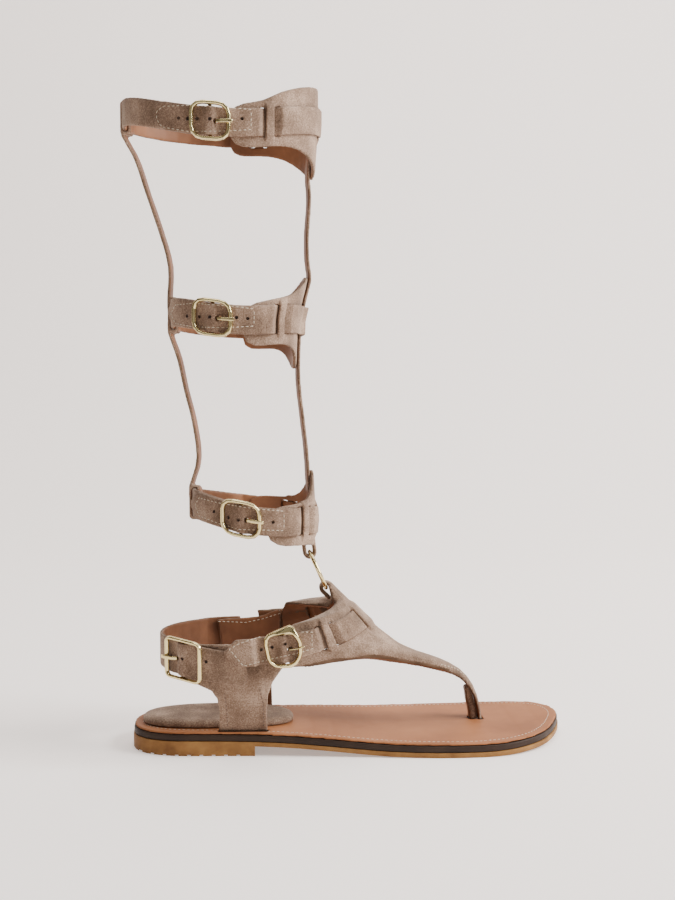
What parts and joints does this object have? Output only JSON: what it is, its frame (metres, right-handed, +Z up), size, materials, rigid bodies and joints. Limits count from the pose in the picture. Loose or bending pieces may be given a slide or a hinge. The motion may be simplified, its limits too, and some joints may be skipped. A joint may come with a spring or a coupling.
{
  "type": "toe post sandal",
  "caption": "Knee-high flat toe post sandal for the right foot: woven suede leg cuffs with buckles, upright straps, ring, vamp and stacked sole.",
  "frame": {"origin": "on the floor under the middle of the heel", "axes": "+X to the toe, +Y to the inner side of the foot, +Z up the leg"},
  "size_m": [0.2595, 0.1107, 0.3783],
  "materials": {
    "suede": "napped taupe suede with a smooth tan lining",
    "gold_metal": "polished pale gold",
    "outsole": "matt tan",
    "midsole": "dark painted edge",
    "insole": "smooth tan"
  },
  "bodies": {
    "sandal": {"outsole": "outsole", "midsole": "midsole", "insole": "insole", "heel_pad": "suede", "toe_post": "suede", "vamp": "suede", "quarter_lateral": "suede", "quarter_medial": "suede", "heel_strap": "suede", "heel_buckle_frame": "gold_metal", "heel_buckle_prong": "gold_metal", "instep_strap": "suede", "instep_buckle_frame": "gold_metal", "instep_buckle_prong": "gold_metal", "top_panel": "suede", "top_strap": "suede", "top_buckle_frame": "gold_metal", "top_buckle_prong": "gold_metal", "middle_panel": "suede", "middle_strap": "suede", "middle_buckle_frame": "gold_metal", "middle_buckle_prong": "gold_metal", "lower_panel": "suede", "lower_strap": "suede", "lower_buckle_frame": "gold_metal", "lower_buckle_prong": "gold_metal", "front_strap": "suede", "back_strap": "suede"},
    "ring": {"ring": "gold_metal"}
  },
  "joints": [
    {"name": "ring_spin", "type": "hinge", "parent": "sandal", "child": "ring", "pos_m": [0.0792, 0, 0.1016], "axis": [0.9121, 0, 0.41], "continuous": true}
  ]
}
